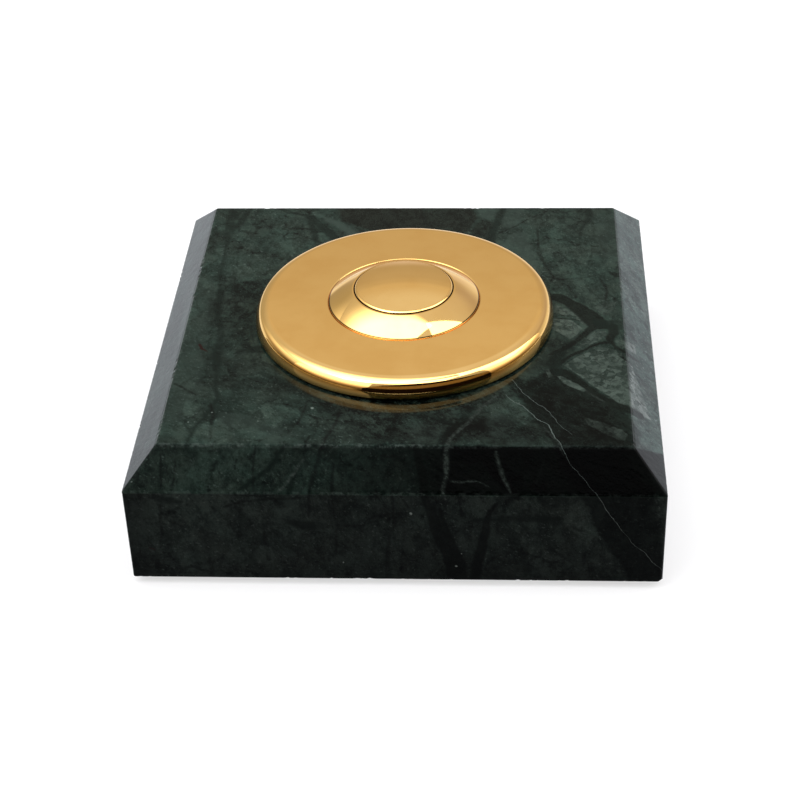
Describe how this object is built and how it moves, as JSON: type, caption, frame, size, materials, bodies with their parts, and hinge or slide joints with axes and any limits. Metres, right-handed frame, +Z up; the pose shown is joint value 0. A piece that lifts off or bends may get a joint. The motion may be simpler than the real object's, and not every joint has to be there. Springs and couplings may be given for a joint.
{
  "type": "bell push",
  "caption": "Counter-top bell push: bevelled green marble block with a round brass rose, a conical bezel and a domed press button, wired through an inlet in the rear face.",
  "frame": {"origin": "on the table, under the middle of the marble block", "axes": "+Z up along the button's axis, -Y the front face, +Y the rear face with the cable inlet"},
  "size_m": [0.1, 0.1, 0.0365],
  "materials": {
    "marble": "polished",
    "polished_brass": "polished",
    "contact_brass": "satin",
    "zinc_steel": "satin",
    "spring_steel": "satin",
    "rubber": "matte",
    "gasket": "matte",
    "fibre": "matte",
    "phenolic": "satin",
    "acetal": "satin",
    "cover_plastic": "matte"
  },
  "bodies": {
    "base": {"marble_base": "marble", "foot_front_left": "rubber", "foot_front_right": "rubber", "foot_rear_left": "rubber", "foot_rear_right": "rubber", "rose_gasket": "gasket", "rose_plate": "polished_brass", "bezel_barrel": "polished_brass", "barrel_washer": "fibre", "lock_washer": "spring_steel", "barrel_nut": "contact_brass", "return_spring": "spring_steel", "contact_block": "phenolic", "contact_stud_left": "contact_brass", "contact_stud_right": "contact_brass", "terminal_washers": "contact_brass", "terminal_screws": "zinc_steel", "retaining_ring": "spring_steel", "cable_grommet": "rubber", "base_cover": "cover_plastic", "cable_clamp": "cover_plastic", "cable_clamp_screws": "zinc_steel", "cover_inserts": "contact_brass", "cover_screws": "zinc_steel"},
    "button": {"push_button": "polished_brass", "plunger": "acetal", "contact_bridge": "contact_brass", "bridge_clip": "spring_steel"}
  },
  "joints": [
    {"name": "button_press", "type": "slide", "parent": "base", "child": "button", "axis": [0, 0, -1], "range_m": [0, 0.0018], "stiffness_N_per_m": 800, "springref_m": -0.002, "deforming": ["return_spring"]}
  ]
}
